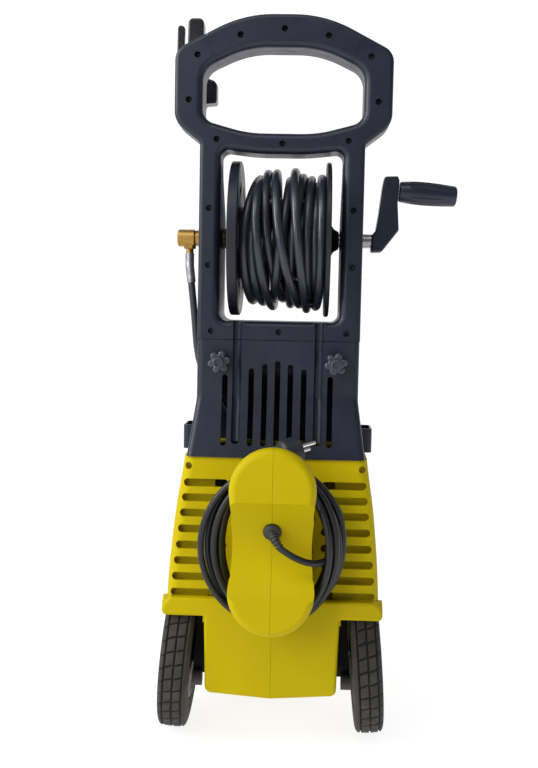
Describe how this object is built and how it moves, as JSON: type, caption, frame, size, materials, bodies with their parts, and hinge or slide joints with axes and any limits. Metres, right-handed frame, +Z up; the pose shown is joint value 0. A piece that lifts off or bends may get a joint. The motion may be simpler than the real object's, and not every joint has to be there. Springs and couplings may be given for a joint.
{
  "type": "pressure washer",
  "caption": "Upright wheeled electric pressure washer with carrying handle, hose reel with crank, louvred body, cable holder with wound lead, and a stowed trigger gun.",
  "frame": {"origin": "on the floor under the middle of the machine's outline, without the mains lead", "axes": "+Z up; -Y is the rear, where the louvres, cable holder and wheels are seen; +X towards the crank of the hose reel"},
  "size_m": [0.3628, 0.363, 0.9135],
  "materials": {
    "black_frame": "satin moulded plastic with a fine grain",
    "black_housing": "satin moulded plastic",
    "yellow_body": "semi-gloss coloured moulded plastic",
    "screw_steel": "dark zinc screw heads",
    "chassis_plastic": "matt moulded plastic",
    "foot_rubber": "soft matt rubber",
    "axle_steel": "zinc plated steel",
    "brass": "turned brass, slightly tarnished",
    "ferrule_steel": "crimped plated steel sleeve",
    "hose_rubber": "smooth black hose cover",
    "motor_steel": "pressed steel motor case",
    "pump_alu": "die-cast aluminium",
    "lead_rubber": "matt black rubber lead",
    "plug_rubber": "moulded black plug",
    "pin_nickel": "nickel plated pins",
    "reel_plastic": "satin moulded plastic",
    "crank_plastic": "semi-gloss moulded plastic",
    "tyre_rubber": "treaded tyre rubber",
    "hub_plastic": "moulded wheel centre",
    "knob_plastic": "moulded knob",
    "gun_plastic": "satin moulded plastic",
    "gun_tube": "black coated steel tube"
  },
  "bodies": {
    "machine": {"handle_frame_rear": "black_frame", "handle_frame_front": "black_frame", "handle_grip_rear": "black_frame", "handle_grip_front": "black_frame", "gun_hook": "black_frame", "housing_rear": "black_housing", "housing_front": "black_housing", "lance_holster_left": "black_housing", "lance_holster_right": "black_housing", "body_shell_left": "yellow_body", "body_shell_right": "yellow_body", "front_cover": "yellow_body", "handle_screws": "screw_steel", "body_screws": "screw_steel", "base_tray": "chassis_plastic", "switch_box": "chassis_plastic", "front_feet": "foot_rubber", "wheel_axles": "axle_steel", "swivel_elbow": "brass", "link_hose_nipple": "brass", "reel_bushes": "brass", "inlet_coupling": "brass", "outlet_fitting": "brass", "link_hose_ferrule": "ferrule_steel", "link_hose": "hose_rubber", "motor_can": "motor_steel", "pump_housing": "pump_alu", "pump_head": "pump_alu", "power_cord_tail": "lead_rubber", "power_cord_coil": "lead_rubber", "power_cord_end": "lead_rubber", "cable_gland": "lead_rubber", "plug_body": "plug_rubber", "plug_pins": "pin_nickel"},
    "reel": {"reel_drum": "reel_plastic", "reel_flange_left": "reel_plastic", "reel_flange_right": "reel_plastic", "reel_shaft": "axle_steel", "reel_hollow_shaft": "brass", "crank_arm": "crank_plastic", "crank_grip_pin": "axle_steel", "pressure_hose_coil": "hose_rubber", "pressure_hose_connector": "brass"},
    "crank_grip": {"crank_grip": "crank_plastic"},
    "wheel_left": {"tyre_left": "tyre_rubber", "wheel_hub_left": "hub_plastic", "hub_cap_left": "hub_plastic"},
    "wheel_right": {"tyre_right": "tyre_rubber", "wheel_hub_right": "hub_plastic", "hub_cap_right": "hub_plastic"},
    "knob_left": {"star_knob_left": "knob_plastic"},
    "knob_right": {"star_knob_right": "knob_plastic"},
    "switch": {"switch_knob": "knob_plastic"},
    "rotor": {"motor_rotor": "motor_steel"},
    "gun": {"gun_shell_front": "gun_plastic", "gun_shell_rear": "gun_plastic", "gun_barrel": "gun_tube", "gun_trigger_pin": "axle_steel"},
    "trigger": {"gun_trigger": "gun_plastic"},
    "catch": {"gun_safety_catch": "gun_plastic"}
  },
  "joints": [
    {"name": "reel_spin", "type": "hinge", "parent": "machine", "child": "reel", "pos_m": [-0.03724, -0.0125, 0.627], "axis": [1, 0, 0], "continuous": true},
    {"name": "crank_grip_spin", "type": "hinge", "parent": "reel", "child": "crank_grip", "pos_m": [0.10836, -0.0125, 0.6896], "axis": [0.9976, 0, -0.0698], "continuous": true},
    {"name": "wheel_left_spin", "type": "hinge", "parent": "machine", "child": "wheel_left", "pos_m": [-0.15474, -0.0245, 0.10216], "axis": [0.9969, 0, -0.0785], "continuous": true},
    {"name": "wheel_right_spin", "type": "hinge", "parent": "machine", "child": "wheel_right", "pos_m": [0.08026, -0.0245, 0.10216], "axis": [0.9969, 0, 0.0785], "continuous": true},
    {"name": "knob_left_turn", "type": "hinge", "parent": "machine", "child": "knob_left", "pos_m": [-0.10774, -0.0695, 0.4745], "axis": [0, -1, 0], "range_deg": [0, 360]},
    {"name": "knob_right_turn", "type": "hinge", "parent": "machine", "child": "knob_right", "pos_m": [0.03326, -0.0695, 0.4745], "axis": [0, -1, 0], "range_deg": [0, 360]},
    {"name": "switch_turn", "type": "hinge", "parent": "machine", "child": "switch", "pos_m": [-0.03724, 0.1505, 0.262], "axis": [0, 1, 0], "range_deg": [0, 90]},
    {"name": "motor_spin", "type": "hinge", "parent": "machine", "child": "rotor", "pos_m": [-0.03724, 0.0345, 0.24], "axis": [0, 0, 1], "continuous": true},
    {"name": "gun_lift", "type": "slide", "parent": "machine", "child": "gun", "axis": [0, 0, 1], "range_m": [0, 0.12]},
    {"name": "trigger_pull", "type": "hinge", "parent": "gun", "child": "trigger", "pos_m": [-0.17284, 0.0465, 0.801], "axis": [0, 1, 0], "range_deg": [0, 2.5], "stiffness_Nm_per_rad": 0.5, "springref_deg": -5.73},
    {"name": "safety_catch_turn", "type": "hinge", "parent": "gun", "child": "catch", "pos_m": [-0.14524, 0.0465, 0.818], "axis": [0, 1, 0], "range_deg": [0, 90]}
  ]
}
